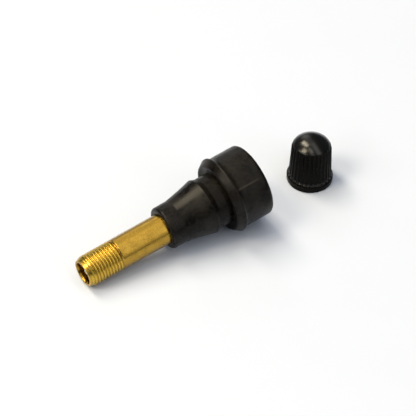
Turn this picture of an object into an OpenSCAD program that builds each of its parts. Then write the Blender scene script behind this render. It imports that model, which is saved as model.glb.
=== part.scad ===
// Snap-in tyre valve lying on its head's lip and its stem's tip, with the cap standing behind it.
// Every piece of the valve is drawn on the valve's own axis, from the head's rear face (z = 0)
// to the mouth of the stem, and then laid on the table by one placement.

/* [Rubber body] */
// Length of the head, from its rear face to the crest of the sealing lip
head_len = 8.6; // [7:0.1:11]
// Diameter of the head
head_d = 18.1; // [16:0.1:20]
// Radius on the head's rear edge
head_edge = 1; // [0.4:0.1:1.6]
// Diameter of the sealing lip's crest
lip_d = 19.1; // [18.6:0.1:21]
// Width of the flat on the lip's crest
lip_land = 0.4; // [0.2:0.1:1]
// Length of the hollow curve between the lip and the head
lip_back = 1.4; // [0.8:0.1:2]
// Length of the bevel in front of the lip's crest
lip_bevel = 1.7; // [1:0.1:2.4]
// Diameter of the lip's front edge
lip_edge_d = 16.7; // [15:0.1:18]
// Depth of the dish in the lip's front face
lip_dish = 0.75; // [0.2:0.05:0.9]
// Radius on the lip's front edge
lip_round = 0.5; // [0.1:0.05:0.7]
// Width of the rim groove, from the lip's front edge to the cone's back edge
groove_w = 4.1; // [3:0.1:5.5]
// Diameter of the neck in the rim groove
neck_d = 13; // [11.5:0.1:13.4]
// Length of the slope from the neck up to the cone's back edge
cone_back = 1.2; // [0.6:0.1:2]
// Length of the cone
cone_len = 7.6; // [5:0.1:11]
// Largest diameter of the cone
cone_d = 13.9; // [13.5:0.1:16]
// Share by which the cone's side is hollowed
cone_sag = 0.25; // [0:0.05:0.6]
// Length of the straight collar in front of the cone
collar_len = 3.85; // [3:0.05:8]
// Diameter of the collar
collar_d = 10.7; // [9.4:0.1:12]
// Radius on the collar's front edge
collar_edge = 0.7; // [0.2:0.05:0.8]
// Diameter of the air hole in the head's rear face
air_hole_d = 4; // [3.4:0.1:5]
// Bevel round the air hole
air_hole_bevel = 0.6; // [0.2:0.1:1.2]

/* [Stem] */
// Length of brass that stands out of the rubber
stem_out = 22.35; // [18:0.05:40]
// Outside diameter of the shank and of the thread
stem_d = 7.7; // [7.4:0.05:8.3]
// Length of the thread, from the stem's end
thread_len = 9.5; // [7:0.1:14]
// Width of the thread's run-out groove
runout_w = 0.6; // [0.4:0.1:1]
// Depth of the thread's run-out groove
runout_depth = 0.3; // [0.2:0.05:0.5]
// Length of the bevel on the stem's end
nose_len = 1.5; // [0.6:0.1:1.8]
// Diameter of the stem's end face
nose_d = 6.5; // [6.2:0.05:7]
// Diameter of the mouth at the end face
mouth_d = 5.6; // [5.5:0.05:6]
// Depth of the bevel in the mouth
mouth_depth = 0.5; // [0.2:0.1:1]
// Length of the full shank inside the rubber
shank_in = 3; // [1:0.1:6]
// Diameter of the stem inside the rubber
root_d = 6.4; // [5.8:0.1:7]
// Height of the barbs that the rubber grips
barb_h = 0.45; // [0.2:0.05:0.8]
// Distance from one barb to the next
barb_pitch = 2.6; // [1.8:0.1:3.4]
// Number of barbs
barb_count = 4; // [2:1:5]
// Distance of the foot from the head's rear face
foot_inset = 2.2; // [1.5:0.1:3.5]
// Diameter of the foot
foot_d = 10; // [8:0.1:11]
// Thickness of the foot's rim
foot_t = 1.2; // [0.8:0.1:2]
// Length of the slope behind the foot's rim
foot_slope = 0.8; // [0.4:0.1:1.6]
// Diameter of the air passage
air_d = 3.2; // [2.4:0.1:3.6]

/* [Valve core] */
// Outside diameter of the screw plug
plug_d = 5.24; // [5:0.02:5.4]
// Length of the plug's threaded stretch
plug_thread = 3.6; // [2.6:0.1:5]
// Height of the bridge that a key turns
bridge_h = 1.8; // [1:0.1:2.4]
// Thickness of the bridge
bridge_w = 1.9; // [1.6:0.1:2.4]
// Step from the plug's side in to the bridge's ends
bridge_step = 0.3; // [0.1:0.05:0.6]
// Width of the air slots through the plug
slot_w = 1.1; // [0.8:0.05:1.3]
// Depth of the pin's end below the stem's mouth
pin_depth = 0.8; // [0.3:0.05:1.2]
// Length of pin that stands out of the bridge
pin_out = 2; // [1.95:0.05:2.6]
// Diameter of the pin
pin_d = 1.1; // [0.9:0.02:1.2]
// Diameter of the pin's flattened end
pin_head_d = 1.5; // [1.4:0.05:1.8]
// Thickness of the pin's flattened end
pin_head_t = 0.3; // [0.2:0.05:0.35]
// Bevel on the pin's flattened end
pin_bevel = 0.1; // [0.05:0.05:0.15]
// Diameter of the collar that the spring pushes on
pin_collar_d = 2.3; // [2.1:0.05:2.5]
// Thickness of that collar
pin_collar_t = 0.4; // [0.3:0.05:0.7]
// Travel of the pin when it is pressed
pin_travel = 1.5; // [1:0.05:1.55]
// Room below the pressed pin in the stem's chamber
chamber_room = 1; // [0.6:0.1:2]
// Length of the core barrel below the plug
barrel_len = 9; // [8:0.1:11]
// Diameter of the barrel's lower stretch
barrel_d = 3.9; // [3.7:0.02:4]
// Length of the barrel's neck inside the plug
barrel_neck = 1.3; // [0.8:0.1:1.8]
// Wall of the barrel
barrel_wall = 0.35; // [0.25:0.05:0.4]
// Thickness of the barrel's end, which the spring stands on
barrel_end = 0.8; // [0.5:0.05:1.2]
// Diameter of the sealing edge on the barrel's end
edge_d = 2.9; // [2.7:0.05:3]
// Height of the sealing edge
edge_h = 0.3; // [0.2:0.05:0.5]
// Length of the gasket round the barrel
gasket_len = 2.4; // [1.8:0.1:3]
// Length of the barrel's shoulder above the gasket
shoulder_len = 0.5; // [0.3:0.1:1]
// Diameter of the cup
cup_d = 3.7; // [3.5:0.05:3.9]
// Wall of the cup
cup_wall = 0.2; // [0.15:0.05:0.3]
// Thickness of the cup's floor
cup_floor = 0.4; // [0.3:0.05:0.6]
// Thickness of the rubber washer
washer_t = 1; // [0.7:0.05:1.4]
// Height of the washer above the cup's rim
washer_out = 0.15; // [0.1:0.05:0.3]
// Thickness of the riveted end of the pin
rivet_t = 0.35; // [0.25:0.05:0.6]
// Diameter of the spring's wire
wire_d = 0.3; // [0.2:0.02:0.4]
// Number of turns of the spring
spring_turns = 8; // [5:1:10]

/* [Cap] */
// Height of the cap
cap_h = 12.9; // [11.8:0.1:14.5]
// Diameter of the flared skirt
skirt_d = 11.1; // [10.6:0.1:12]
// Bevel on the skirt's lower edge
skirt_edge = 0.2; // [0.1:0.05:0.5]
// Height of the skirt's straight rim
skirt_h = 1.3; // [0.8:0.1:2]
// Height of the flare above the rim
flare_h = 1.2; // [0.6:0.1:2]
// Diameter of the barrel above the flare
waist_d = 10.25; // [9.8:0.05:10.4]
// Diameter of the barrel below the dome
crown_d = 9.7; // [9.2:0.05:9.8]
// Radius between the barrel and the dome
dome_edge = 2.6; // [1.6:0.1:3.2]
// Radius of the dome
dome_r = 6; // [5:0.1:9]
// Number of flutes
flute_count = 28; // [18:1:32]
// Depth of the flutes above the flare
flute_depth = 0.24; // [0.1:0.02:0.3]
// Depth of the flutes at the dome
flute_top_depth = 0.42; // [0.2:0.02:0.45]
// Radius of the cutter that makes the flutes
flute_r = 0.5; // [0.4:0.02:0.52]
// Length of the cap's thread
cap_thread_len = 7; // [6:0.1:7.8]
// Bevel at the cap's mouth
cap_bevel = 0.5; // [0.2:0.1:0.8]
// Diameter of the seal in the cap
seal_d = 7.2; // [6.6:0.1:7.4]
// Thickness of the seal in the cap
seal_t = 1; // [0.6:0.1:1.2]

/* [Placing] */
// Distance of the cap behind the lip, along the valve
cap_back = 27; // [25:0.1:60]
// Distance of the cap to the side of the valve
cap_side = 2.4; // [-3:0.1:3]

/* [Clearances] */
// Gap between a thread and its mate
thread_gap = 0.1; // [0.05:0.01:0.2]
// Gap between pieces of the core that are fixed together
core_gap = 0.03; // [0.02:0.01:0.06]
// Gap round the moving pin and cup
run_gap = 0.1; // [0.06:0.01:0.15]
// Gap at the bond between rubber and brass
bond_gap = 0.01; // [0.01:0.01:0.03]

/* [Hidden] */
$fn = 96;
eps = 0.05;

// Heights on the valve's axis, from the head's rear face
lip_z = head_len;
lip_edge_z = lip_z + lip_bevel;
cone_z = lip_edge_z + groove_w;
collar_z = cone_z + cone_len;
front_z = collar_z + collar_len;
tip_z = front_z + stem_out;
thread_z = tip_z - thread_len;
shank_z = front_z - shank_in;
foot_top_z = foot_inset + foot_t + foot_slope;

// Heights of the core, downwards from the mouth
bridge_z = tip_z - pin_depth - pin_out;
plug_z = bridge_z - bridge_h;
barrel_z = plug_z - plug_thread;
gasket_z = barrel_z - shoulder_len;
gasket_end_z = gasket_z - gasket_len;
barrel_end_z = barrel_z - barrel_len;
edge_z = barrel_end_z - edge_h;
washer_z = edge_z - core_gap;
cup_top_z = washer_z - washer_out;
cup_floor_z = washer_z - washer_t - core_gap;
cup_end_z = cup_floor_z - cup_floor;
rivet_z = cup_end_z - core_gap;
pin_end_z = rivet_z - rivet_t;
chamber_z = pin_end_z - pin_travel - chamber_room;

// Radii of the core and of its seat in the stem
bore_r = plug_d / 2 + core_gap;
low_r = max(barrel_d, cup_d) / 2 + 2 * run_gap;
hole_r = pin_d / 2 + run_gap;
neck_in_r = pin_collar_d / 2 + run_gap;
neck_out_r = neck_in_r + barrel_wall;
gasket_in_r = neck_out_r + core_gap;
shoulder_r = low_r - run_gap / 2;
collar_top_z = barrel_z - core_gap;
spring_top_z = collar_top_z - pin_collar_t;
spring_end_z = barrel_end_z + barrel_end;
spring_r = pin_collar_d / 2 - wire_d / 2;
rivet_r = pin_d / 2 + rivet_t;

// Radii of the cap's inside
cap_bore_r = stem_d / 2 + thread_gap;
seal_z = cap_bevel + cap_thread_len;
dome_turn = asin((crown_d / 2 - dome_edge) / (dome_r - dome_edge));
dome_z = cap_h - dome_r + (dome_r - dome_edge) * cos(dome_turn);
flute_in = (waist_d - crown_d) / 2 + flute_top_depth - flute_depth;
flute_lean = atan(flute_in / (dome_z - skirt_h - flare_h));

// The valve lies on the lip's crest and on the front edge of the thread
tilt = atan((lip_d - stem_d) / 2 / (tip_z - nose_len - lip_z));
reach_front = (tip_z - lip_z) * cos(tilt) + nose_d / 2 * sin(tilt);
reach_back = cap_back + skirt_d / 2;
lip_x = (reach_front - reach_back) / 2;

// Points of an arc in the half plane of a turned profile
function arc(r, z, size, from, to, n = 6) =
    [for (i = [0:n]) let (a = from + (to - from) * i / n) [r + size * cos(a), z + size * sin(a)]];

// Points of a rounded corner p between the points a and b: the arc that touches both sides
function soft(a, p, b, size, n = 4) =
    let (to_a = (a - p) / norm(a - p),
         to_b = (b - p) / norm(b - p),
         half = acos(to_a * to_b) / 2,
         cut = min(size / tan(half), 0.45 * norm(a - p), 0.45 * norm(b - p)))
    [for (i = [0:n])
        let (t = i / n,
             q = [(1 - t) * (1 - t), 2 * sin(half) * t * (1 - t), t * t])
            (q[0] * (p + to_a * cut) + q[1] * p + q[2] * (p + to_b * cut)) / (q[0] + q[1] + q[2])];

// Lays the valve's axis down, tip towards -X, with the lip's crest on the table
module laid() {
    translate([lip_x, 0, lip_d / 2 * cos(tilt)])
        rotate([0, -90 - tilt, 0])
            translate([0, 0, -lip_z])
                children();
}

// Puts the cap on the table behind the head
module standing() {
    translate([lip_x + cap_back, cap_side, 0])
        children();
}

module turned(points) {
    rotate_extrude()
        polygon(points);
}

// Outside of the brass inside the rubber, grown by a gap, up to a given height
function root_profile(gap, top) = concat(
    [[0, foot_inset - gap],
     [foot_d / 2 + gap, foot_inset - gap],
     [foot_d / 2 + gap, foot_inset + foot_t + gap],
     [root_d / 2 + gap, foot_top_z + gap]],
    [for (i = [0:barb_count - 1], p = [[0, 0.3], [barb_h, 0.9], [0, 0.9]])
        [root_d / 2 + gap + p[0], foot_top_z + gap + (i + p[1]) * barb_pitch]],
    [[root_d / 2 + gap, shank_z - gap],
     [stem_d / 2 + gap, shank_z - gap],
     [stem_d / 2 + gap, top]]);

module valve_stem() {
    color([0.80, 0.62, 0.28])
        laid()
            difference() {
                turned(concat(
                    root_profile(0, thread_z),
                    [[stem_d / 2 - runout_depth, thread_z + runout_w / 2],
                     [stem_d / 2, thread_z + runout_w],
                     [stem_d / 2, tip_z - nose_len],
                     [nose_d / 2, tip_z],
                     [0, tip_z]]));
                // Mouth, core thread, cone seat, chamber and air passage in one cut
                turned([[0, tip_z + eps],
                        [mouth_d / 2, tip_z + eps],
                        [mouth_d / 2, tip_z],
                        [bore_r, tip_z - mouth_depth],
                        [bore_r, gasket_z],
                        [low_r, gasket_end_z],
                        [low_r, chamber_z],
                        [air_d / 2, chamber_z - (low_r - air_d / 2)],
                        [air_d / 2, foot_inset - eps],
                        [0, foot_inset - eps]]);
            }
}

module rubber_body() {
    color([0.12, 0.115, 0.10])
        laid()
            difference() {
                turned(concat(
                    [[0, 0]],
                    arc(head_d / 2 - head_edge, head_edge, head_edge, -90, 0),
                    [for (i = [0:6]) let (a = 90 * i / 6)
                        [lip_d / 2 - (lip_d - head_d) / 2 * cos(a),
                         lip_z - lip_land - lip_back * (1 - sin(a))]],
                    [[lip_d / 2, lip_z]],
                    soft([lip_d / 2, lip_z],
                         [lip_edge_d / 2, lip_edge_z],
                         [neck_d / 2, lip_edge_z - lip_dish], lip_round),
                    [[neck_d / 2, lip_edge_z - lip_dish],
                     [neck_d / 2, cone_z - cone_back],
                     [cone_d / 2, cone_z]],
                    [for (i = [1:8]) let (u = 1 - i / 8)
                        [collar_d / 2 + (cone_d - collar_d) / 2 * (u * (1 - cone_sag) + cone_sag * u * u),
                         collar_z - cone_len * u]],
                    arc(collar_d / 2 - collar_edge, front_z - collar_edge, collar_edge, 0, 90),
                    [[0, front_z]]));
                turned(concat(
                    root_profile(bond_gap, front_z + eps),
                    [[0, front_z + eps]]));
                // Air hole in the base
                turned([[0, -eps],
                        [air_hole_d / 2 + air_hole_bevel, -eps],
                        [air_hole_d / 2 + air_hole_bevel, 0],
                        [air_hole_d / 2, air_hole_bevel],
                        [air_hole_d / 2, foot_inset + eps],
                        [0, foot_inset + eps]]);
            }
}

module core_plug() {
    color([0.72, 0.55, 0.24])
        laid()
            difference() {
                union() {
                    translate([0, 0, barrel_z])
                        cylinder(d = plug_d, h = plug_thread);
                    intersection() {
                        translate([0, 0, plug_z - eps])
                            cylinder(d = plug_d - 2 * bridge_step, h = bridge_h + eps);
                        translate([-plug_d / 2, -bridge_w / 2, plug_z - eps])
                            cube([plug_d, bridge_w, bridge_h + eps]);
                    }
                }
                // Hole for the pin, and the recess that the barrel's neck turns in
                translate([0, 0, barrel_z - eps])
                    cylinder(r = hole_r, h = plug_thread + bridge_h + 2 * eps);
                translate([0, 0, barrel_z - eps])
                    cylinder(r = neck_out_r + core_gap, h = barrel_neck + core_gap + eps);
                // Air slots on both sides of the bridge
                for (side = [-1, 1])
                    translate([0, side * (bridge_w / 2 + slot_w / 2), barrel_z - eps])
                        cylinder(d = slot_w, h = plug_thread + 2 * eps);
            }
}

module core_barrel() {
    color([0.76, 0.60, 0.30])
        laid()
            turned([[neck_in_r, barrel_z + barrel_neck],
                    [neck_in_r, spring_end_z],
                    [hole_r + run_gap, spring_end_z],
                    [hole_r + run_gap, edge_z],
                    [edge_d / 2, edge_z],
                    [edge_d / 2, barrel_end_z],
                    [barrel_d / 2, barrel_end_z],
                    [barrel_d / 2, gasket_end_z - core_gap],
                    [neck_out_r, gasket_end_z - core_gap],
                    [neck_out_r, gasket_z],
                    [shoulder_r, gasket_z],
                    [shoulder_r, barrel_z - core_gap],
                    [neck_out_r, barrel_z - core_gap],
                    [neck_out_r, barrel_z + barrel_neck]]);
}

module core_gasket() {
    color([0.85, 0.20, 0.15])
        laid()
            turned([[gasket_in_r, gasket_end_z],
                    [low_r - core_gap, gasket_end_z],
                    [bore_r - core_gap, gasket_z - core_gap],
                    [gasket_in_r, gasket_z - core_gap]]);
}

module core_pin() {
    color([0.70, 0.68, 0.62])
        laid()
            turned([[0, pin_end_z],
                    [rivet_r, pin_end_z],
                    [rivet_r, rivet_z],
                    [pin_d / 2, rivet_z],
                    [pin_d / 2, spring_top_z],
                    [pin_collar_d / 2, spring_top_z],
                    [pin_collar_d / 2, collar_top_z],
                    [pin_d / 2, collar_top_z],
                    [pin_d / 2, tip_z - pin_depth - pin_head_t],
                    [pin_head_d / 2, tip_z - pin_depth - pin_head_t],
                    [pin_head_d / 2, tip_z - pin_depth - pin_bevel],
                    [pin_head_d / 2 - pin_bevel, tip_z - pin_depth],
                    [0, tip_z - pin_depth]]);
}

// Coil between the pin's collar and the barrel's end, its wire an eight-sided sweep
module core_spring() {
    steps = spring_turns * 14;
    rise = spring_top_z - spring_end_z - wire_d - 2 * core_gap;
    rings = [for (i = [0:steps])
        let (a = 360 * spring_turns * i / steps, z = spring_end_z + core_gap + wire_d / 2 + rise * i / steps)
            [for (k = [0:7])
                let (b = 45 * k, r = spring_r + wire_d / 2 * cos(b))
                    [r * cos(a), r * sin(a), z + wire_d / 2 * sin(b)]]];
    points = [for (ring = rings, p = ring) p];
    sides = [for (i = [0:steps - 1], k = [0:7])
        [i * 8 + k, (i + 1) * 8 + k, (i + 1) * 8 + (k + 1) % 8, i * 8 + (k + 1) % 8]];
    ends = [[for (k = [0:7]) k],
            [for (k = [7:-1:0]) steps * 8 + k]];
    color([0.75, 0.76, 0.78])
        laid()
            polyhedron(points, concat(sides, ends));
}

module core_cup() {
    color([0.76, 0.60, 0.30])
        laid()
            turned([[pin_d / 2 + core_gap, cup_end_z],
                    [cup_d / 2, cup_end_z],
                    [cup_d / 2, cup_top_z],
                    [cup_d / 2 - cup_wall, cup_top_z],
                    [cup_d / 2 - cup_wall, cup_floor_z],
                    [pin_d / 2 + core_gap, cup_floor_z]]);
}

module core_washer() {
    color([0.16, 0.15, 0.14])
        laid()
            turned([[pin_d / 2 + core_gap, washer_z - washer_t],
                    [cup_d / 2 - cup_wall - core_gap, washer_z - washer_t],
                    [cup_d / 2 - cup_wall - core_gap, washer_z],
                    [pin_d / 2 + core_gap, washer_z]]);
}

module cap() {
    color([0.09, 0.085, 0.08])
        standing()
            difference() {
                turned(concat(
                    [[0, 0],
                     [skirt_d / 2 - skirt_edge, 0],
                     [skirt_d / 2, skirt_edge],
                     [skirt_d / 2, skirt_h]],
                    [for (i = [1:5]) let (u = i / 5)
                        [skirt_d / 2 - (skirt_d - waist_d) / 2 * sin(90 * u),
                         skirt_h + flare_h * (1 - cos(90 * u))]],
                    arc(crown_d / 2 - dome_edge, dome_z, dome_edge, 0, 90 - dome_turn),
                    [for (i = [1:6]) let (a = dome_turn * (1 - i / 6))
                        [dome_r * sin(a), cap_h - dome_r + dome_r * cos(a)]]));
                // Flutes lean in with the barrel's taper, deepen upwards and run out on the dome's edge
                for (i = [0:flute_count - 1])
                    rotate(360 * i / flute_count)
                        translate([waist_d / 2 + flute_r - flute_depth, 0, skirt_h + flare_h])
                            rotate([0, -flute_lean, 0])
                                translate([0, 0, -flare_h * 0.55])
                                    cylinder(r = flute_r, h = cap_h, $fn = 24);
                // Thread bore with its bevelled mouth, and the seal's recess above it
                turned([[0, -eps],
                        [cap_bore_r + cap_bevel, -eps],
                        [cap_bore_r + cap_bevel, 0],
                        [cap_bore_r, cap_bevel],
                        [cap_bore_r, seal_z],
                        [seal_d / 2 + core_gap, seal_z],
                        [seal_d / 2 + core_gap, seal_z + seal_t + core_gap],
                        [0, seal_z + seal_t + core_gap]]);
            }
}

module cap_seal() {
    color([0.20, 0.19, 0.18])
        standing()
            translate([0, 0, seal_z])
                cylinder(d = seal_d, h = seal_t);
}

valve_stem();
rubber_body();
core_plug();
core_barrel();
core_gasket();
core_pin();
core_spring();
core_cup();
core_washer();
cap();
cap_seal();
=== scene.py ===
"""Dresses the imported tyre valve: turned brass stem, moulded rubber boot, fluted cap and sprung core.

Sizes are in millimetres and repeat those of the part's source. A piece of the valve is worked out on
the valve's own axis, from the head's rear face (z = 0) to the stem's mouth, and is then laid on the
table as the solids are. A piece of the cap is worked out on the cap's axis, from the table up.
"""

import bpy
import numpy as np
from mathutils import Matrix


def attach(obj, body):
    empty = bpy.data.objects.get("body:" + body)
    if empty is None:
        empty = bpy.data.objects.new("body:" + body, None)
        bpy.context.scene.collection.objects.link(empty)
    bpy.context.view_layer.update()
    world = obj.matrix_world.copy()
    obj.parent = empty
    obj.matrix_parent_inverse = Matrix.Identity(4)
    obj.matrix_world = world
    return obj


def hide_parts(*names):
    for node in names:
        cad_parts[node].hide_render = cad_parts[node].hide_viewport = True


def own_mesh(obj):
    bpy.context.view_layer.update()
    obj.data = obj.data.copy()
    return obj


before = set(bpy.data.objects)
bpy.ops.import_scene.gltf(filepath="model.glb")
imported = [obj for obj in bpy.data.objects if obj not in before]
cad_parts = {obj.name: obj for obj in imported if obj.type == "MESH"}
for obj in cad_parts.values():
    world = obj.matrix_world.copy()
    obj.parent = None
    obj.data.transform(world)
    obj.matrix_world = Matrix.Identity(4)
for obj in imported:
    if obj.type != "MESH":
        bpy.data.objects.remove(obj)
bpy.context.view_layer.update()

MM = 0.001
TURN = 2 * np.pi

# Rubber boot
HEAD_LEN, HEAD_R, HEAD_EDGE = 8.6, 9.05, 1.0
LIP_R, LIP_LAND, LIP_BACK = 9.55, 0.4, 1.4
LIP_BEVEL, LIP_EDGE_R, LIP_DISH, LIP_ROUND = 1.7, 8.35, 0.75, 0.5
GROOVE_W, NECK_R = 4.1, 6.5
CONE_BACK, CONE_LEN, CONE_R, CONE_SAG = 1.2, 7.6, 6.95, 0.25
COLLAR_LEN, COLLAR_R, COLLAR_EDGE = 3.85, 5.35, 0.7
AIR_HOLE_R, AIR_HOLE_BEVEL = 2.0, 0.6

# Mould seam on the head: its places round the axis, its section, and the heights where it rises
SEAM_ANGLES = np.radians([-43.2, 136.8])
SEAM_H, SEAM_W = 0.07, 0.22
SEAM_START_Z, SEAM_FULL_Z = 1.2, 3.2

# The boot's outer skin: how far it reaches along the outline, and the radii where it starts
SKIN_LEN, SKIN_R, SKIN_FULL_R = 62.0, 4.6, 5.2
SHELTER_FADE, SHELTER_EDGE = 0.2, 0.3

# Brass stem
STEM_OUT, STEM_R = 22.35, 3.85
THREAD_LEN, RUNOUT_W, RUNOUT_DEPTH = 9.5, 0.6, 0.3
THREAD_PITCH, THREAD_DEPTH = 25.4 / 32, 0.26
THREAD_START, THREAD_FULL = 0.2, 0.9
NOSE_LEN, NOSE_R = 1.5, 3.25
MOUTH_R, MOUTH_DEPTH, MOUTH_PLAIN = 2.8, 0.5, 1.6
SHANK_IN, ROOT_R = 3.0, 3.2
BARB_H, BARB_PITCH, BARB_COUNT = 0.45, 2.6, 4
BARB_START, BARB_TOP = 0.3, 0.9
FOOT_INSET, FOOT_R, FOOT_T, FOOT_SLOPE = 2.2, 5.0, 1.2, 0.8
AIR_R, AIR_SPLIT_Z = 1.6, 10.0

# Valve core
PLUG_R, PLUG_THREAD, BRIDGE_H = 2.62, 3.6, 1.8
CORE_PITCH, CORE_DEPTH, CORE_FADE = 25.4 / 36, 0.22, 0.6
PIN_DEPTH, PIN_OUT, PIN_R = 0.8, 2.0, 0.55
PIN_HEAD_R, PIN_HEAD_T = 0.75, 0.3
PIN_COLLAR_R, PIN_COLLAR_T, PIN_TRAVEL = 1.15, 0.4, 1.5
BARREL_LEN, BARREL_R, BARREL_END, EDGE_H = 9.0, 1.95, 0.8, 0.3
GASKET_LEN, SHOULDER_LEN = 2.4, 0.5
WASHER_T, CUP_FLOOR, RIVET_T = 1.0, 0.4, 0.35
WIRE_R, SPRING_TURNS = 0.15, 8
CHAMBER_ROOM = 1

# Cap
CAP_H, SKIRT_R, SKIRT_H, FLARE_H = 12.9, 5.55, 1.3, 1.2
WAIST_R, CROWN_R, DOME_EDGE, DOME_R = 5.125, 4.85, 2.6, 6.0
FLUTES, FLUTE_DEPTH, FLUTE_TOP_DEPTH, FLUTE_R = 28, 0.24, 0.42, 0.5
FLUTE_LIMIT, FLUTE_START, FLUTE_FULL = 0.48, 0.30, 0.46
CAP_THREAD_LEN, CAP_BEVEL, CAP_RIDGE = 7.0, 0.5, 0.3
CAP_PLAIN, CAP_FADE = 0.2, 0.6
SEAL_R, SEAL_T = 3.6, 1.0
CAP_BACK, CAP_SIDE = 27.0, 2.4

THREAD_GAP, CORE_GAP, RUN_GAP, BOND_GAP = 0.1, 0.03, 0.1, 0.01

# Heights on the valve's axis, and radii that follow from fits
LIP_Z = HEAD_LEN
LIP_EDGE_Z = LIP_Z + LIP_BEVEL
CONE_Z = LIP_EDGE_Z + GROOVE_W
COLLAR_Z = CONE_Z + CONE_LEN
FRONT_Z = COLLAR_Z + COLLAR_LEN
TIP_Z = FRONT_Z + STEM_OUT
THREAD_Z = TIP_Z - THREAD_LEN
SHANK_Z = FRONT_Z - SHANK_IN
FOOT_TOP_Z = FOOT_INSET + FOOT_T + FOOT_SLOPE
PLUG_Z = TIP_Z - PIN_DEPTH - PIN_OUT - BRIDGE_H
BARREL_Z = PLUG_Z - PLUG_THREAD
GASKET_Z = BARREL_Z - SHOULDER_LEN
GASKET_END_Z = GASKET_Z - GASKET_LEN
BARREL_END_Z = BARREL_Z - BARREL_LEN
RIVET_Z = BARREL_END_Z - EDGE_H - WASHER_T - CUP_FLOOR - 3 * CORE_GAP
PIN_END_Z = RIVET_Z - RIVET_T
CHAMBER_Z = PIN_END_Z - PIN_TRAVEL - CHAMBER_ROOM
MOUTH_END_Z = TIP_Z - MOUTH_DEPTH - 0.2
CORE_THREAD_Z = PLUG_Z - 0.3
PIN_HEAD_Z = TIP_Z - PIN_DEPTH - PIN_HEAD_T
SPRING_TOP_Z = BARREL_Z - CORE_GAP - PIN_COLLAR_T
SPRING_END_Z = BARREL_END_Z + BARREL_END
BORE_R = PLUG_R + CORE_GAP
LOW_R = BARREL_R + 2 * RUN_GAP

# Heights and radii on the cap's axis
CAP_BORE_R = STEM_R + THREAD_GAP
SEAL_Z = CAP_BEVEL + CAP_THREAD_LEN
RECESS_R = SEAL_R + CORE_GAP
RECESS_Z = SEAL_Z + SEAL_T + CORE_GAP
DOME_TURN = np.arcsin((CROWN_R - DOME_EDGE) / (DOME_R - DOME_EDGE))
DOME_Z = CAP_H - DOME_R + (DOME_R - DOME_EDGE) * np.cos(DOME_TURN)

# The valve lies on the lip's crest and on the thread's front edge
TILT = np.arctan2(LIP_R - STEM_R, TIP_Z - NOSE_LEN - LIP_Z)
LIP_X = ((TIP_Z - LIP_Z) * np.cos(TILT) + NOSE_R * np.sin(TILT) - CAP_BACK - SKIRT_R) / 2
AXIS = np.array([-np.cos(TILT), 0.0, -np.sin(TILT)])
UPWARD = np.array([-np.sin(TILT), 0.0, np.cos(TILT)])
ACROSS = np.array([0.0, 1.0, 0.0])
LIP_POINT = np.array([LIP_X, 0.0, LIP_R * np.cos(TILT)])

# Limits of a fillet: the largest share of a stretch that it takes, and the shortest one that is drawn
FILLET_SHARE, FILLET_LEAST = 0.48, 1e-4

# Worn thread within half a turn, from root to crest: the flat at the root ends, the crest starts
ROOT_END, CREST_START = 0.02, 0.68


# Placing and outlines


def lay_down(x, y, z):
    """Puts points of the valve's axis on the table, in metres: the lip's point plus x times the upward
    direction, y times the direction across and z, from the lip, times the axis towards the tip."""
    x, y, z = np.broadcast_arrays(x, y, z)
    along = (z - LIP_Z)[..., None] * AXIS
    return MM * (LIP_POINT + x[..., None] * UPWARD + y[..., None] * ACROSS + along)


def stand_up(x, y, z):
    """Puts points of the cap's axis on the table behind the head, in metres: a plain shift."""
    x, y, z = np.broadcast_arrays(x, y, z)
    return MM * np.stack([x + LIP_X + CAP_BACK, y + CAP_SIDE, z], -1)


def rounded(corners, steps=6):
    """Outline rows (radius, height) of a list of corners (radius, height, fillet). A corner becomes the
    circular arc between its two tangent points: a rational quadratic curve that is pulled to the corner
    with a weight of the sine of half the corner's angle."""
    points = np.array([corner[:2] for corner in corners], float)
    share = np.linspace(0, 1, steps + 1)[:, None]
    rows = [points[:1]]
    for before, here, after, corner in zip(points, points[1:], points[2:], corners[1:]):
        back, ahead = before - here, after - here
        back_len, ahead_len = np.hypot(*back), np.hypot(*ahead)
        half = 0.5 * np.arccos(np.clip(back @ ahead / back_len / ahead_len, -1, 1))
        cut = min(corner[2] / np.tan(half), FILLET_SHARE * back_len, FILLET_SHARE * ahead_len)
        if cut < FILLET_LEAST:
            rows.append(here[None])
            continue
        start = here + back * cut / back_len
        end = here + ahead * cut / ahead_len
        weights = (1 - share) ** 2, 2 * np.sin(half) * share * (1 - share), share ** 2
        rows.append((weights[0] * start + weights[1] * here + weights[2] * end) / sum(weights))
    rows.append(points[-1:])
    return np.concatenate(rows)


def spread(rows, step):
    """The same outline with its rows no further apart than step: each stretch is divided evenly."""
    runs = np.diff(rows, axis=0)
    counts = np.maximum(1, np.ceil(np.hypot(*runs.T) / step).astype(int))
    first = np.repeat(np.cumsum(counts) - counts, counts)
    share = (np.arange(counts.sum()) - first) / np.repeat(counts, counts)
    between = np.repeat(rows[:-1], counts, 0) + np.repeat(runs, counts, 0) * share[:, None]
    return np.vstack([between, rows[-1:]])


def ease(value, low, high):
    """Rises smoothly from 0 at low to 1 at high: three times the square less twice the cube."""
    share = np.clip((value - low) / (high - low), 0, 1)
    return share * share * (3 - 2 * share)


def full_circle(columns):
    """Angles of evenly spaced columns round an axis."""
    return np.linspace(0, TURN, columns, endpoint=False)


def thread_groove(turns):
    """Depth of a worn thread as a share of its whole depth, 1 at the root and 0 at the crest: one less a
    smooth step of the distance from the root within a turn, with a narrow flat at the root and a broad,
    rounded one at the crest."""
    from_root = np.abs(2 * (turns % 1.0) - 1)
    return 1 - ease(from_root, ROOT_END, CREST_START)


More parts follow.
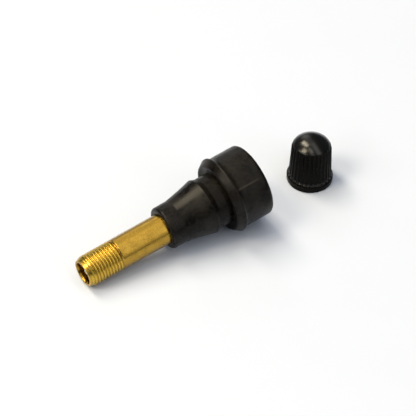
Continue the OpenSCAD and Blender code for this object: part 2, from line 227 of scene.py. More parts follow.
def make_piece(name, points, closed_rows, marks=None, crease=38):
    """Mesh of a grid of points: columns join round. Rows join round too where closed_rows is set, and
    otherwise the first and the last row shrink to one point each. Faces are turned outwards by the
    sign of the enclosed volume. Marks are grids of values of the same shape, kept as attributes, and an
    edge sharper than the crease, in degrees, stays sharp."""
    count, columns = points.shape[:2]

    def flat(grid):
        """The grid as one list, with each end row as one point where the rows don't join round."""
        if closed_rows:
            return grid.reshape(-1, *grid.shape[2:])
        inner = grid[1:-1].reshape(-1, *grid.shape[2:])
        return np.concatenate([grid[0].mean(0)[None], inner, grid[-1].mean(0)[None]])

    if closed_rows:
        index = np.arange(count * columns).reshape(count, columns)
        index = np.vstack([index, index[:1]])
    else:
        index = np.zeros((count, columns), int)
        index[1:-1] = 1 + np.arange((count - 2) * columns).reshape(count - 2, columns)
        index[-1] = 1 + (count - 2) * columns
    around = np.roll(index, -1, axis=1)
    quads = np.stack([index[:-1], around[:-1], around[1:], index[1:]], -1)
    if closed_rows:
        fans = np.zeros((0, 3), int)
        quads = quads.reshape(-1, 4)
    else:
        fans = np.vstack([quads[0][:, [0, 2, 3]], quads[-1][:, [0, 1, 2]]])
        quads = quads[1:-1].reshape(-1, 4)

    vertices = flat(points)
    triangles = vertices[np.vstack([quads[:, [0, 1, 2]], quads[:, [0, 2, 3]], fans])]
    volume = np.einsum("ij,ij->", triangles[:, 0], np.cross(triangles[:, 1], triangles[:, 2]))
    way = 1 if volume > 0 else -1
    mesh = bpy.data.meshes.new(name)
    mesh.from_pydata(vertices.tolist(), [], quads[:, ::way].tolist() + fans[:, ::way].tolist())
    for label, grid in (marks or {}).items():
        layer = mesh.attributes.new(label, "FLOAT", "POINT")
        layer.data.foreach_set("value", flat(grid[..., None])[:, 0].astype(np.float32))
    mesh.shade_smooth()
    mesh.set_sharp_from_angle(angle=np.radians(crease))
    mesh.update()
    piece = bpy.data.objects.new(name, mesh)
    bpy.context.scene.collection.objects.link(piece)
    return piece


# Pieces


def root_corners(gap, fillet):
    """Corners of the brass inside the rubber, grown by a gap: foot, slope and barbs up to the shank."""
    corners = [(FOOT_R + gap, FOOT_INSET - gap, fillet),
               (FOOT_R + gap, FOOT_INSET + FOOT_T + gap, fillet),
               (ROOT_R + gap, FOOT_TOP_Z + gap, fillet)]
    for barb in range(BARB_COUNT):
        start = FOOT_TOP_Z + gap + barb * BARB_PITCH
        corners += [(ROOT_R + gap, start + BARB_START * BARB_PITCH, 0),
                    (ROOT_R + gap + BARB_H, start + BARB_TOP * BARB_PITCH, 0),
                    (ROOT_R + gap, start + BARB_TOP * BARB_PITCH, 0)]
    return corners + [(ROOT_R + gap, SHANK_Z - gap, 0), (STEM_R + gap, SHANK_Z - gap, 0)]


def brass_stem():
    """The stem from foot to mouth and back through its bore, as one closed outline turned round the axis.
    Outside, the radius is the smaller of the outline's and the thread's, where the thread is the stem's
    radius less the groove depth at (height / pitch - angle / turn), so it climbs as a right-hand helix and
    the nose bevel cuts it off. In the bore the core's finer thread is added to the radius the same way.
    Two rows on the plain stretch keep its shading straight."""
    outside = rounded([
        (AIR_R, AIR_SPLIT_Z, 0),
        (AIR_R, FOOT_INSET, 0.15),
        *root_corners(0, 0.1),
        (STEM_R, FRONT_Z + 1.0, 0),
        (STEM_R, THREAD_Z - 0.5, 0),
        (STEM_R, THREAD_Z, 0.15),
        (STEM_R - RUNOUT_DEPTH, THREAD_Z + RUNOUT_W / 2, 0.12),
        (STEM_R, THREAD_Z + RUNOUT_W, 0)], steps=4)
    thread = spread(rounded([
        (STEM_R, THREAD_Z + RUNOUT_W, 0),
        (STEM_R, TIP_Z - NOSE_LEN, 0.3),
        (NOSE_R, TIP_Z, 0.12),
        (MOUTH_R, TIP_Z, 0.08),
        (BORE_R, TIP_Z - MOUTH_DEPTH, 0.1),
        (BORE_R, MOUTH_END_Z, 0)], steps=5), step=0.052)
    bore = spread(np.array([[BORE_R, MOUTH_END_Z], [BORE_R, CORE_THREAD_Z]]), step=0.06)
    inside = rounded([
        (BORE_R, CORE_THREAD_Z, 0),
        (BORE_R, GASKET_Z, 0),
        (LOW_R, GASKET_END_Z, 0),
        (LOW_R, CHAMBER_Z, 0),
        (AIR_R, CHAMBER_Z - (LOW_R - AIR_R), 0),
        (AIR_R, AIR_SPLIT_Z, 0)])
    rows = np.vstack([outside, thread[1:], bore[1:], inside[1:-1]])
    angles = full_circle(168)
    radius, height = rows[:, :1], rows[:, 1:]

    past_runout = (np.arange(len(rows)) >= len(outside))[:, None]
    is_outside = past_runout & (radius > 0.5 * (NOSE_R + MOUTH_R))
    is_bore = (radius < MOUTH_R) & (radius > LOW_R + RUN_GAP)
    is_bore = is_bore & (height < TIP_Z - MOUTH_DEPTH) & (height > CORE_THREAD_Z)
    threaded = is_outside * ease(height, THREAD_Z + THREAD_START, THREAD_Z + THREAD_FULL)
    groove = thread_groove(height / THREAD_PITCH - angles / TURN) * threaded
    core_groove = thread_groove(height / CORE_PITCH - angles / TURN) * is_bore
    core_groove = core_groove * ease(-height, MOUTH_PLAIN - TIP_Z, CORE_FADE + MOUTH_PLAIN - TIP_Z)
    cut_outside = np.minimum(radius, STEM_R - THREAD_DEPTH * groove)
    radius = np.where(is_outside, cut_outside, radius + CORE_DEPTH * core_groove)
    points = lay_down(radius * np.cos(angles), radius * np.sin(angles), height)
    # The second mark covers the threaded stretch, where the finish paints a highlight: a brighter, yellower
    # brass.
    marks = {"groove": np.maximum(groove, core_groove), "thread_highlight": threaded * np.ones_like(groove)}
    return make_piece("brass_stem", points, True, marks, crease=50)


def from_seam(angles):
    """Distance of each angle from the nearer mould seam, round the axis."""
    return np.abs((angles[:, None] - SEAM_ANGLES + np.pi) % TURN - np.pi).min(1)


def rubber_boot():
    """The boot from the air hole over the head, lip, groove, cone and collar to the brass, and back along
    the hollow that grips the brass, as one closed outline turned round the axis. The lip's back is a
    quarter of an ellipse, and the cone's side a line with a share of a parabola. Along the two halves of
    the mould the outside is raised by a bell curve of the distance round the surface from the seam."""
    lip_back = [(LIP_R - (LIP_R - HEAD_R) * np.cos(TURN / 4 * part),
                 LIP_Z - LIP_LAND - LIP_BACK * (1 - np.sin(TURN / 4 * part)), 0)
                for part in np.linspace(0, 1, 9)[:-1]]
    cone_side = [(COLLAR_R + (CONE_R - COLLAR_R) * (part * (1 - CONE_SAG) + CONE_SAG * part * part),
                  COLLAR_Z - CONE_LEN * part, 0)
                 for part in np.linspace(1, 0, 17)[1:-1]]
    hollow = [(corner[0], corner[1], 0) for corner in root_corners(BOND_GAP, 0)[::-1]]
    outline = rounded([
        (AIR_HOLE_R, FOOT_INSET - BOND_GAP, 0),
        (AIR_HOLE_R, AIR_HOLE_BEVEL, 0.15),
        (AIR_HOLE_R + AIR_HOLE_BEVEL, 0, 0.2),
        (HEAD_R, 0, HEAD_EDGE),
        *lip_back,
        (LIP_R, LIP_Z - LIP_LAND, 0.12),
        (LIP_R, LIP_Z, 0.5),
        (LIP_EDGE_R, LIP_EDGE_Z, LIP_ROUND),
        (NECK_R, LIP_EDGE_Z - LIP_DISH, 0.15),
        (NECK_R, CONE_Z - CONE_BACK, 0.5),
        (CONE_R, CONE_Z, 0.25),
        *cone_side,
        (COLLAR_R, COLLAR_Z, 0.6),
        (COLLAR_R, FRONT_Z, COLLAR_EDGE),
        (STEM_R + BOND_GAP, FRONT_Z, 0.12),
        *hollow,
        (AIR_HOLE_R, FOOT_INSET - BOND_GAP, 0)], steps=7)
    rows = spread(outline[:-1], step=0.5)
    plain = np.linspace(-np.pi, np.pi, 180, endpoint=False)
    close = np.radians([-2.4, -1.7, -1.2, -0.8, -0.4, 0, 0.4, 0.8, 1.2, 1.7, 2.4])
    at_seams = (SEAM_ANGLES[:, None] + close).ravel()
    angles = np.sort(np.concatenate([plain[from_seam(plain) > np.radians(3)], at_seams]))
    radius, height = rows[:, :1], rows[:, 1:]

    travelled = np.cumsum(np.hypot(*np.diff(rows, axis=0, prepend=rows[:1]).T))[:, None]
    skin = (travelled < SKIN_LEN) & (radius > SKIN_R)
    seam = np.exp(-((from_seam(angles) * np.maximum(radius, 1) / SEAM_W) ** 2))
    seam = seam * skin * ease(radius, SKIN_R, SKIN_FULL_R)
    seam = seam * ease(height, SEAM_START_Z, SEAM_FULL_Z) * ease(-height, -LIP_Z, LIP_BACK - LIP_Z)
    radius = radius + SEAM_H * seam
    points = lay_down(radius * np.cos(angles), radius * np.sin(angles), height)
    past_lip = ease(height, LIP_EDGE_Z - LIP_DISH - SHELTER_FADE, LIP_EDGE_Z + SHELTER_FADE)
    sheltered = past_lip * ease(-height, -CONE_Z, 2 * SHELTER_FADE - CONE_Z)
    in_dish = (radius < LIP_EDGE_R - SHELTER_EDGE) & (height > LIP_Z) & (height < LIP_EDGE_Z)
    sheltered = np.maximum(sheltered, in_dish) * np.ones_like(seam)
    return make_piece("rubber_boot", points, True, {"seam": seam, "sheltered": sheltered})


def cap_shell():
    """The cap from the middle of its dome over the fluted barrel, flare and rim into its threaded bore, to
    the middle of the bore's end. The dome is an arc about the axis that runs into the arc of its edge, and
    the flare a quarter of an ellipse. A flute is the mark of a round cutter, whose side lies at a straight
    floor line up the barrel: at a distance x round the surface from its middle the radius is at most
    floor + r - root(r * r - x * x), so it ends by itself on the dome's edge, where the surface falls
    below that. The rim's first corner only gives the direction that the rim comes from."""
    bow = np.linspace(0, DOME_TURN, 18)[:, None]
    bend = np.linspace(DOME_TURN, TURN / 4, 30)[1:, None]
    dip = np.linspace(TURN / 4, 0, 15)[1:, None]
    top = np.hstack([DOME_R * np.sin(bow), CAP_H - DOME_R + DOME_R * np.cos(bow)])
    shoulder = np.hstack([CROWN_R - DOME_EDGE + DOME_EDGE * np.sin(bend), DOME_Z + DOME_EDGE * np.cos(bend)])
    barrel = spread(np.array([[CROWN_R, DOME_Z], [WAIST_R, SKIRT_H + FLARE_H]]), step=0.4)[1:]
    flare = np.hstack([SKIRT_R - (SKIRT_R - WAIST_R) * np.sin(dip), SKIRT_H + FLARE_H * (1 - np.cos(dip))])
    rim = rounded([
        (SKIRT_R - 0.004, SKIRT_H + 0.06, 0),
        (SKIRT_R, SKIRT_H - 0.1, 0.4),
        (SKIRT_R, 0, 0.28),
        (CAP_BORE_R + CAP_BEVEL, 0, 0.1),
        (CAP_BORE_R, CAP_BEVEL, 0.1),
        (CAP_BORE_R, CAP_BEVEL + 0.3, 0)], steps=5)[1:]
    bore = spread(np.array([[CAP_BORE_R, CAP_BEVEL + 0.3], [CAP_BORE_R, SEAL_Z]]), step=0.085)[1:]
    recess = rounded([
        (CAP_BORE_R, SEAL_Z, 0),
        (RECESS_R, SEAL_Z, 0),
        (RECESS_R, RECESS_Z, 0),
        (0, RECESS_Z, 0)])[1:]
    outside = np.vstack([top, shoulder, barrel, flare])
    rows = np.vstack([outside, rim, bore, recess])
    row = np.arange(len(rows))[:, None]
    bore_start = len(outside) + len(rim)
    is_fluted = row < len(outside)
    is_bore = (row >= bore_start) & (row < bore_start + len(bore))

    half = np.array([0.09, 0.18, 0.26, 0.33, 0.385, 0.425, 0.46])
    step = np.concatenate([-half[::-1], [0], half, [0.5]])
    angles = ((np.arange(FLUTES)[:, None] + step) * TURN / FLUTES).ravel()
    offset = np.tile(step, FLUTES) * TURN / FLUTES

    radius, height = rows[:, :1], rows[:, 1:]
    up = (height - SKIRT_H - FLARE_H) / (DOME_Z - SKIRT_H - FLARE_H)
    floor = (WAIST_R - FLUTE_DEPTH) + up * (CROWN_R - FLUTE_TOP_DEPTH - WAIST_R + FLUTE_DEPTH)
    aside = radius * np.sin(offset)
    cut = radius - floor - FLUTE_R + np.sqrt(np.clip(FLUTE_R ** 2 - aside ** 2, 0, None))
    cut = np.clip(cut, 0, FLUTE_LIMIT) * (np.abs(aside) < FLUTE_R) * is_fluted
    cut = cut * ease(height, SKIRT_H + FLUTE_START * FLARE_H, SKIRT_H + FLUTE_FULL * FLARE_H)
    ridge = (1 - thread_groove(height / THREAD_PITCH - angles / TURN)) * is_bore
    ridge = ridge * ease(height, CAP_BEVEL + CAP_PLAIN, CAP_BEVEL + CAP_PLAIN + CAP_FADE)
    ridge = ridge * ease(-height, -SEAL_Z, -SEAL_Z + CAP_FADE)
    radius = radius - cut - CAP_RIDGE * ridge
    points = stand_up(radius * np.cos(angles), radius * np.sin(angles), height)
    marks = {"flute": cut / FLUTE_TOP_DEPTH + np.zeros_like(ridge)}
    return make_piece("cap_shell", points, False, marks, crease=42)


def sprung_pin():
    """The pin from its riveted end over the spring's collar to its flattened end, an outline that starts
    and ends on the axis, turned round it."""
    rows = rounded([
        (0, PIN_END_Z, 0),
        (PIN_R + RIVET_T, PIN_END_Z, 0.15),
        (PIN_R + RIVET_T, RIVET_Z, 0.03),
        (PIN_R, RIVET_Z, 0),
        (PIN_R, SPRING_TOP_Z, 0.05),
        (PIN_COLLAR_R, SPRING_TOP_Z, 0.06),
        (PIN_COLLAR_R, SPRING_TOP_Z + PIN_COLLAR_T, 0.06),
        (PIN_R, SPRING_TOP_Z + PIN_COLLAR_T, 0.05),
        (PIN_R, PIN_HEAD_Z, 0.06),
        (PIN_HEAD_R, PIN_HEAD_Z, 0.06),
        (PIN_HEAD_R, TIP_Z - PIN_DEPTH, 0.14),
        (0, TIP_Z - PIN_DEPTH, 0)])
    angles = full_circle(48)
    radius, height = rows[:, :1], rows[:, 1:]
    points = lay_down(radius * np.cos(angles), radius * np.sin(angles), height)
    return make_piece("sprung_pin", points, False)


def spring_coil():
    """The spring: a circle of the wire's radius carried along a helix from the barrel's end to the pin's
    collar, closed by a point at each end."""
    steps = np.linspace(0, 1, SPRING_TURNS * 28 + 1)
    steps = np.concatenate([steps[:1], steps, steps[-1:]])
    wire = np.full(len(steps), WIRE_R)
    wire[[0, -1]] = 0
    round_wire = full_circle(12)
    angle = (TURN * SPRING_TURNS * steps)[:, None]
    low = SPRING_END_Z + CORE_GAP + WIRE_R
    high = SPRING_TOP_Z - CORE_GAP - WIRE_R
    radius = PIN_COLLAR_R - WIRE_R + wire[:, None] * np.cos(round_wire)
    height = low + (high - low) * steps[:, None] + wire[:, None] * np.sin(round_wire)
    points = lay_down(radius * np.cos(angle), radius * np.sin(angle), height)
    return make_piece("spring_coil", points, False)


# Node helpers


def add_node(tree, kind, values=None, **settings):
    """Adds a node with its settings; each value is a number, a colour or another node's output."""
    node = tree.nodes.new(kind)
    for label, setting in settings.items():
        setattr(node, label, setting)
    for label, value in (values or {}).items():
        if isinstance(value, bpy.types.NodeSocket):
            tree.links.new(value, node.inputs[label])
        else:
            node.inputs[label].default_value = value
    return node


def maths(tree, operation, *values):
    """One calculation with one, two or three values."""
    return add_node(tree, "ShaderNodeMath", dict(enumerate(values)), operation=operation).outputs[0]


def plus(tree, value, mask, share):
    """A value with a share of a mask added."""
    return maths(tree, "MULTIPLY_ADD", mask, share, value)


def mixed(tree, share, first, second):
    """A colour between two, by a share."""
    return add_node(tree, "ShaderNodeMix", {0: share, 6: first, 7: second}, data_type="RGBA").outputs[2]


def laid_over(tree, tone, mask, share, layer):
    """A tone with another colour laid over it, by a share of a mask."""
    return mixed(tree, maths(tree, "MULTIPLY", mask, share), tone, layer)


def scaled(tree, value, low, high, to_low, to_high):
    """A value moved from one range to another, clamped."""
    ranges = {"Value": value, "From Min": low, "From Max": high, "To Min": to_low, "To Max": to_high}
    return add_node(tree, "ShaderNodeMapRange", ranges).outputs[0]


def noise(tree, place, scale, **values):
    """Noise over a place, with the texture's own values."""
    inputs = {"Vector": place, "Scale": scale, **values}
    return add_node(tree, "ShaderNodeTexNoise", inputs).outputs[0]


def line_noise(tree, distance, detail):
    """Noise along a line, of the distance on it."""
    inputs = {"W": distance, "Scale": 1.0, "Detail": detail}
    return add_node(tree, "ShaderNodeTexNoise", inputs, noise_dimensions="1D").outputs[0]


def axis_part(tree, place, axis):
    """One of the three coordinates of a place."""
    return add_node(tree, "ShaderNodeSeparateXYZ", {0: place}).outputs[axis]


# Shared effects, as node groups


def effect_group(name, size_label, size, outputs, contrast=None):
    """A shader node group that takes a place, a size in millimetres and, where it is given, a contrast;
    gives its tree, its inputs, its outputs and the texture scale of that size."""
    tree = bpy.data.node_groups.new(name, "ShaderNodeTree")
    tree.interface.new_socket("Place", in_out="INPUT", socket_type="NodeSocketVector")
    numbers = {size_label: size}
    if contrast is not None:
        numbers["Contrast"] = contrast
    for label, value in numbers.items():
        socket = tree.interface.new_socket(label, in_out="INPUT", socket_type="NodeSocketFloat")
        socket.default_value = value
    for label in outputs:
        tree.interface.new_socket(label, in_out="OUTPUT", socket_type="NodeSocketFloat")
    given = tree.nodes.new("NodeGroupInput").outputs
    result = tree.nodes.new("NodeGroupOutput").inputs
    return tree, given, result, maths(tree, "DIVIDE", 1 / MM, given[size_label])


def patchy_tone_group():
    """Soft patches: two sizes of noise added up and spread to a mask from 0 to 1."""
    tree, given, result, scale = effect_group("Patchy tone", "Patch mm", 2.0, ["Mask"], contrast=1.0)
    broad = noise(tree, given["Place"], scale, Detail=3.0, Roughness=0.55)
    finer = noise(tree, given["Place"], maths(tree, "MULTIPLY", scale, 4.3), Detail=4.0, Roughness=0.6)
    both = maths(tree, "ADD", maths(tree, "MULTIPLY", broad, 0.65), maths(tree, "MULTIPLY", finer, 0.35))
    stretch = maths(tree, "MULTIPLY", given["Contrast"], 3.0)
    wide = maths(tree, "MULTIPLY_ADD", maths(tree, "SUBTRACT", both, 0.5), stretch, 0.5)
    tree.links.new(maths(tree, "MINIMUM", maths(tree, "MAXIMUM", wide, 0.0), 1.0), result["Mask"])
    return tree


def moulded_grain_group():
    """The fine skin of a mould: small cells with soft sides over finer noise, as a height."""
    tree, given, result, scale = effect_group("Moulded grain", "Grain mm", 0.2, ["Height", "Mask"])
    cells = add_node(tree, "ShaderNodeTexVoronoi", feature="SMOOTH_F1")
    tree.links.new(given["Place"], cells.inputs["Vector"])
    tree.links.new(scale, cells.inputs["Scale"])
    cells.inputs["Smoothness"].default_value = 0.6
    specks = noise(tree, given["Place"], maths(tree, "MULTIPLY", scale, 1.9), Detail=2.0)
    bumps = maths(tree, "MULTIPLY", cells.outputs["Distance"], 0.6)
    tree.links.new(maths(tree, "ADD", bumps, maths(tree, "MULTIPLY", specks, 0.4)), result["Height"])
    tree.links.new(specks, result["Mask"])
    return tree


def lathe_rings_group():
    """Marks of the turning tool: noise of the place along the piece's axis alone, which gives rings of
    uneven depth, broken a little by noise over the surface."""
    tree, given, result, scale = effect_group("Lathe rings", "Ring mm", 0.1, ["Height", "Mask"])
    along = axis_part(tree, given["Place"], "X")
    stray = noise(tree, given["Place"], 700.0, Detail=2.0)
    fine = line_noise(tree, maths(tree, "MULTIPLY", along, scale), 2.0)
    broad = line_noise(tree, maths(tree, "MULTIPLY", along, 1400.0), 1.0)
    tree.links.new(maths(tree, "MULTIPLY", fine, maths(tree, "ADD", stray, 0.3)), result["Height"])
    tree.links.new(maths(tree, "MULTIPLY", broad, maths(tree, "ADD", stray, 0.5)), result["Mask"])
    return tree


def scuffs_group():
    """Thin scuffs from handling: the middle lines of a stretched, bent noise, kept in a few patches."""
    tree, given, result, scale = effect_group("Scuffs", "Length mm", 4.0, ["Mask"])
    lie = {"Vector": given["Place"], "Rotation": (0.5, 0.9, 0.3), "Scale": (1.0, 9.0, 6.0)}
    turned = add_node(tree, "ShaderNodeMapping", lie).outputs[0]
    lines = noise(tree, turned, scale, Detail=2.0, Distortion=0.4)
    thin = scaled(tree, maths(tree, "ABSOLUTE", maths(tree, "SUBTRACT", lines, 0.5)), 0.0, 0.025, 1.0, 0.0)
    where = noise(tree, given["Place"], maths(tree, "MULTIPLY", scale, 0.6))
    tree.links.new(maths(tree, "MULTIPLY", thin, scaled(tree, where, 0.5, 0.68, 0.0, 1.0)), result["Mask"])
    return tree


PATCHY = patchy_tone_group()
GRAIN = moulded_grain_group()
RINGS = lathe_rings_group()
SCUFFS = scuffs_group()


# Helpers of the finishes


def new_material(name):
    """An empty material; gives it with its tree, its shader and the place on the piece."""
    material = bpy.data.materials.new(name)
    material.use_nodes = True
    tree = material.node_tree
    tree.nodes.clear()
    shader = tree.nodes.new("ShaderNodeBsdfPrincipled")
    add_node(tree, "ShaderNodeOutputMaterial", {"Surface": shader.outputs[0]})
    place = tree.nodes.new("ShaderNodeTexCoord").outputs["Object"]
    return material, tree, shader, place


def effect(tree, group, place, **values):
    """Places one of the shared effects in a material."""
    node = tree.nodes.new("ShaderNodeGroup")
    node.node_tree = group
    tree.links.new(place, node.inputs["Place"])
    for label, value in values.items():
        node.inputs[label.replace("_", " ")].default_value = value
    return node.outputs


def along_valve(tree, place):
    """The place turned by the valve's tilt, so that its x runs along the valve."""
    turned = {"Vector": place, "Rotation": (0.0, float(TILT), 0.0)}
    return add_node(tree, "ShaderNodeMapping", turned).outputs[0]


def raised(tree, shader, height, depth_mm):
    """Feeds a height to the shader's normal as a bump of that depth."""
    bump = add_node(tree, "ShaderNodeBump", {"Height": height, "Strength": 1.0, "Distance": depth_mm * MM})
    tree.links.new(bump.outputs[0], shader.inputs["Normal"])


def own_value(tree, label):
    """A value that the piece's mesh carries at each point."""
    return add_node(tree, "ShaderNodeAttribute", attribute_name=label).outputs["Fac"]


def colour(red, green, blue):
    """A solid colour, in linear values."""
    return (red, green, blue, 1.0)


# Finishes


def brass_finish(name, bright, dull, dark, roughness):
    """Turned brass: patches between a bright and a dull tone, a painted highlight that makes the whole
    threaded stretch brighter and yellower, darker and rougher in the thread's roots, with lathe rings
    along the valve and a few scuffs."""
    material, tree, shader, place = new_material(name)
    patches = effect(tree, PATCHY, place, Patch_mm=2.2, Contrast=1.1)["Mask"]
    rings = effect(tree, RINGS, along_valve(tree, place), Ring_mm=0.07)
    scuffs = effect(tree, SCUFFS, place, Length_mm=5.0)["Mask"]
    groove = own_value(tree, "groove")
    painted_highlight_tone = colour(0.68, 0.46, 0.07)
    tone = mixed(tree, patches, bright, dull)
    tone = laid_over(tree, tone, rings["Mask"], 0.35, dull)
    # Painted highlight: the threaded stretch gets a brighter, yellower tone that stands for the light its
    # crests catch.
    tone = laid_over(tree, tone, own_value(tree, "thread_highlight"), 0.6, painted_highlight_tone)
    tone = laid_over(tree, tone, groove, 0.3, dark)
    tree.links.new(tone, shader.inputs["Base Color"])
    rough = plus(tree, roughness, patches, 0.12)
    rough = plus(tree, rough, groove, 0.12)
    rough = plus(tree, rough, scuffs, 0.1)
    tree.links.new(rough, shader.inputs["Roughness"])
    shader.inputs["Metallic"].default_value = 1.0
    height = maths(tree, "SUBTRACT", rings["Height"], maths(tree, "MULTIPLY", scuffs, 0.4))
    raised(tree, shader, height, depth_mm=0.006)
    return material


def rubber_finish(name, base, dusty, roughness, specular, grain_mm, grain_depth_mm):
    """Moulded rubber: nearly black, with paler dusty patches and scuffs, a fine mould grain and a
    roughness that follows the patches. A painted highlight makes the mould's seam paler, and the skin
    outside the sheltered groove has a thin, uneven gloss from handling."""
    material, tree, shader, place = new_material(name)
    patches = effect(tree, PATCHY, place, Patch_mm=3.4, Contrast=1.6)["Mask"]
    grain = effect(tree, GRAIN, place, Grain_mm=grain_mm)
    scuffs = effect(tree, SCUFFS, place, Length_mm=6.0)["Mask"]
    scuffed = colour(0.02, 0.019, 0.017)
    seam_highlight_tone = colour(0.045, 0.040, 0.033)
    tone = laid_over(tree, base, patches, 0.7, dusty)
    tone = laid_over(tree, tone, scuffs, 0.35, scuffed)
    # Painted highlight: a paler tone along the raised mould seam stands for the light its ridge catches.
    tone = laid_over(tree, tone, own_value(tree, "seam"), 0.6, seam_highlight_tone)
    tree.links.new(tone, shader.inputs["Base Color"])
    gloss = plus(tree, 0.1, own_value(tree, "sheltered"), -0.1)
    gloss = maths(tree, "MULTIPLY", gloss, plus(tree, 0.5, patches, 0.9))
    tree.links.new(gloss, shader.inputs["Coat Weight"])
    shader.inputs["Coat Roughness"].default_value = 0.34
    rough = plus(tree, roughness, patches, 0.16)
    rough = plus(tree, rough, grain["Mask"], 0.08)
    tree.links.new(rough, shader.inputs["Roughness"])
    shader.inputs["Specular IOR Level"].default_value = specular
    raised(tree, shader, grain["Height"], grain_depth_mm)
    return material


def cap_finish():
    """Moulded cap: black with faint paler patches, satin on the fluted side and glossy on the flare and on
    the dome, whose skin is a little uneven; the coat's weight rises over the skirt's edge, falls again
    where the flutes start and rises over the dome's edge."""
    material, tree, shader, place = new_material("Glossy cap plastic")
    patches = effect(tree, PATCHY, place, Patch_mm=3.2, Contrast=1.0)["Mask"]
    grain = effect(tree, GRAIN, place, Grain_mm=0.25)
    scuffs = effect(tree, SCUFFS, place, Length_mm=3.5)["Mask"]
    dents = effect(tree, PATCHY, place, Patch_mm=1.5, Contrast=1.0)["Mask"]
    scuffed = colour(0.012, 0.011, 0.010)
    tone = mixed(tree, patches, colour(0.0028, 0.0026, 0.0024), colour(0.0052, 0.0048, 0.0043))
    tone = laid_over(tree, tone, scuffs, 0.3, scuffed)
    tree.links.new(tone, shader.inputs["Base Color"])
    rough = plus(tree, 0.2, patches, 0.06)
    rough = plus(tree, rough, own_value(tree, "flute"), 0.06)
    rough = plus(tree, rough, scuffs, 0.12)
    tree.links.new(rough, shader.inputs["Roughness"])
    shader.inputs["Specular IOR Level"].default_value = 0.05

    height = axis_part(tree, place, "Z")

    def rise(low, high, weight):
        """A gloss that rises to its weight between two heights."""
        return scaled(tree, height, low * MM, high * MM, 0.0, weight)

    gloss = rise(DOME_Z + 1.45, DOME_Z + 1.85, 0.78)
    gloss = maths(tree, "MULTIPLY", gloss, plus(tree, 1.0, patches, -0.3))
    gloss = maths(tree, "ADD", gloss, rise(SKIRT_H + 0.2, SKIRT_H + 0.5, 0.5))
    gloss = maths(tree, "SUBTRACT", gloss, rise(SKIRT_H + 0.7, SKIRT_H + 1.1, 0.5))
    tree.links.new(gloss, shader.inputs["Coat Weight"])
    shader.inputs["Coat Roughness"].default_value = 0.22
    raised(tree, shader, plus(tree, grain["Height"], dents, 1.3), depth_mm=0.006)
    return material


def steel_finish():
    """Plated steel: grey patches with fine lathe rings."""
    material, tree, shader, place = new_material("Plated steel")
    patches = effect(tree, PATCHY, place, Patch_mm=0.8, Contrast=1.0)["Mask"]
    rings = effect(tree, RINGS, along_valve(tree, place), Ring_mm=0.05)
    tone = mixed(tree, patches, colour(0.64, 0.61, 0.55), colour(0.5, 0.47, 0.42))
    tree.links.new(tone, shader.inputs["Base Color"])
    tree.links.new(plus(tree, 0.24, patches, 0.12), shader.inputs["Roughness"])
    shader.inputs["Metallic"].default_value = 1.0
    raised(tree, shader, rings["Height"], depth_mm=0.003)
    return material


def gasket_finish():
    """Red PTFE: matt, with faint patches and a fine grain."""
    material, tree, shader, place = new_material("Red gasket plastic")
    patches = effect(tree, PATCHY, place, Patch_mm=0.8, Contrast=1.0)["Mask"]
    grain = effect(tree, GRAIN, place, Grain_mm=0.12)
    tone = mixed(tree, patches, colour(0.5, 0.035, 0.02), colour(0.4, 0.025, 0.016))
    tree.links.new(tone, shader.inputs["Base Color"])
    tree.links.new(plus(tree, 0.48, grain["Mask"], 0.12), shader.inputs["Roughness"])
    raised(tree, shader, grain["Height"], depth_mm=0.004)
    return material


# Putting it together


def fit(piece, material, body, node):
    """Gives a piece its finish and puts it in place of a solid."""
    piece.data.materials.append(material)
    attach(piece, body)
    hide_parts(node)


def finish_solid(node, material):
    """Gives a solid that stays in view its finish."""
    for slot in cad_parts[node].material_slots:
        slot.material = material


stem_brass = brass_finish(
    "Turned stem brass", roughness=0.20,
    bright=colour(0.44, 0.275, 0.044), dull=colour(0.34, 0.20, 0.031), dark=colour(0.15, 0.075, 0.010))
core_brass = brass_finish(
    "Turned core brass", roughness=0.3,
    bright=colour(0.60, 0.40, 0.12), dull=colour(0.46, 0.29, 0.08), dark=colour(0.22, 0.12, 0.03))
boot_rubber = rubber_finish(
    "Moulded boot rubber", base=colour(0.0034, 0.0029, 0.0026), dusty=colour(0.0126, 0.0103, 0.0080),
    roughness=0.19, specular=0.08, grain_mm=0.22, grain_depth_mm=0.007)
seal_rubber = rubber_finish(
    "Soft seal rubber", base=colour(0.016, 0.0155, 0.015), dusty=colour(0.026, 0.025, 0.024),
    roughness=0.6, specular=0.3, grain_mm=0.15, grain_depth_mm=0.01)
cap_plastic = cap_finish()
plated_steel = steel_finish()
gasket_red = gasket_finish()

fit(brass_stem(), stem_brass, "valve", "valve_stem")
fit(rubber_boot(), boot_rubber, "valve", "rubber_body")
fit(cap_shell(), cap_plastic, "valve", "cap")
fit(sprung_pin(), plated_steel, "plunger", "core_pin")
coil = spring_coil()
fit(coil, plated_steel, "valve", "core_spring")
tuple(lay_down(0.0, 0.0, SPRING_END_Z))
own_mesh(coil)
for node in ("core_plug", "core_barrel", "core_cup"):
    finish_solid(node, core_brass)
for node in ("core_washer", "cap_seal"):
    finish_solid(node, seal_rubber)
finish_solid("core_gasket", gasket_red)


# Table, light and camera


def table():
    """A large plain pale sheet under the valve."""
    half = 4.0
    corners = [(-half, -half, 0), (half, -half, 0), (half, half, 0), (-half, half, 0)]
    mesh = bpy.data.meshes.new("table")
    mesh.from_pydata(corners, [], [(0, 1, 2, 3)])
    piece = bpy.data.objects.new("table", mesh)
    bpy.context.scene.collection.objects.link(piece)
    material, tree, shader, place = new_material("Pale table")
    patches = effect(tree, PATCHY, place, Patch_mm=60.0, Contrast=0.6)["Mask"]
    tone = mixed(tree, patches, colour(0.63, 0.692, 0.838), colour(0.615, 0.675, 0.82))
    tree.links.new(tone, shader.inputs["Base Color"])
    shader.inputs["Roughness"].default_value = 0.9
    shader.inputs["Specular IOR Level"].default_value = 0.0
    piece.data.materials.append(material)


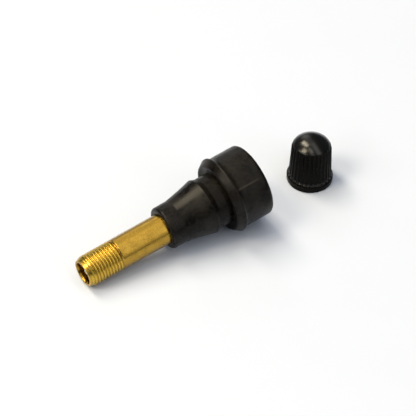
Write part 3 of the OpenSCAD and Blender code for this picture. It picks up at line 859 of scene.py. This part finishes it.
def put_in_view(name, data, right, up, back, place):
    """An object for a lamp or a camera that looks against the direction called back."""
    turned = np.column_stack([right, up, back, place])
    holder = bpy.data.objects.new(name, data)
    holder.matrix_world = Matrix(np.vstack([turned, [0, 0, 0, 1]]).tolist())
    bpy.context.scene.collection.objects.link(holder)
    return holder


def soft_lamp(name, direction, width, depth, watts, tint, distance=1.5):
    """A soft lamp that looks at the middle of the set from a direction: a rectangle with a width
    along the valve and a depth across it."""
    lamp = bpy.data.lights.new(name, "AREA")
    lamp.shape = "RECTANGLE"
    lamp.size, lamp.size_y = width, depth
    lamp.energy, lamp.color = watts, tint
    back = np.array(direction) / np.linalg.norm(direction)
    right = np.cross([0.0, 1.0, 0.0], back)
    right /= np.linalg.norm(right)
    put_in_view(name, lamp, right, np.cross(back, right), back, back * distance)


def studio_world():
    """A dim, slightly blue room with one long soft strip of light that arches over the set from front to
    back. A direction lies in the strip where its share along the valve is near that of the strip's middle,
    and the strip fades towards the horizon and is dimmer high up behind the set."""
    strip_middle, strip_core, strip_edge = 0.32, 0.08, 0.22
    world = bpy.data.worlds.new("Studio")
    world.use_nodes = True
    tree = world.node_tree
    way = tree.nodes.new("ShaderNodeTexCoord").outputs["Generated"]
    ahead = {0: way, 1: tuple(-AXIS)}
    along = add_node(tree, "ShaderNodeVectorMath", ahead, operation="DOT_PRODUCT").outputs["Value"]
    away = maths(tree, "ABSOLUTE", maths(tree, "SUBTRACT", along, strip_middle))
    across, upward = axis_part(tree, way, "Y"), axis_part(tree, way, "Z")
    strip = scaled(tree, away, strip_core, strip_edge, 1.0, 0.0)
    strip = maths(tree, "MULTIPLY", strip, scaled(tree, upward, 0.0, 0.5, 0.0, 1.0))
    high_up = scaled(tree, upward, 0.50, 0.62, 0.0, 1.0)
    behind = maths(tree, "MULTIPLY", scaled(tree, across, 0.15, 0.35, 0.0, 1.0), high_up)
    strip = maths(tree, "MULTIPLY", strip, plus(tree, 1.0, behind, -0.55))
    tone = mixed(tree, strip, colour(0.06, 0.08, 0.10), colour(1.8, 1.75, 1.66))
    tree.links.new(tone, tree.nodes["Background"].inputs["Color"])
    bpy.context.scene.world = world


def photo_camera(azimuth, elevation, roll, distance, lens, target):
    """A long lens that looks at the target from an azimuth and elevation, turned by the roll."""
    azimuth, elevation, roll = np.radians([azimuth, elevation, roll])
    flat = np.cos(elevation)
    back = np.array([np.sin(azimuth) * flat, -np.cos(azimuth) * flat, np.sin(elevation)])
    level = np.array([np.cos(azimuth), np.sin(azimuth), 0.0])
    above = np.cross(back, level)
    right = np.cos(roll) * level + np.sin(roll) * above
    up = np.cos(roll) * above - np.sin(roll) * level
    camera = bpy.data.cameras.new("photo_camera")
    camera.sensor_width, camera.lens = 36.0, lens
    camera.clip_start, camera.clip_end = 0.05, 20.0
    place = np.array(target) * MM + back * distance
    bpy.context.scene.camera = put_in_view("photo_camera", camera, right, up, back, place)


table()
soft_lamp("key_lamp", (-0.18, 0.47, 0.86), width=0.34, depth=0.92, watts=17.5, tint=(1.0, 0.88, 0.66))
soft_lamp("side_lamp", (-0.60, 0.08, 0.795), width=0.52, depth=0.52, watts=10.5, tint=(1.0, 0.86, 0.60))
soft_lamp("front_lamp", (-0.23, -0.25, 0.94), width=0.32, depth=0.70, watts=2.5, tint=(1.0, 0.92, 0.78))
soft_lamp("low_lamp", (-0.30, -0.62, 0.72), width=0.50, depth=0.55, watts=1.2, tint=(1.0, 0.92, 0.78))
soft_lamp("left_lamp", (-0.82, 0.02, 0.56), width=0.25, depth=1.50, watts=6.5, tint=(1.0, 0.94, 0.84))
photo_camera(azimuth=-35.7753, elevation=43.5623, roll=3.0039, distance=1.2, lens=439.207,
             target=(LIP_X - 2.7422, 2.002, 5.0))
studio_world()
bpy.context.scene.view_settings.view_transform = "Standard"
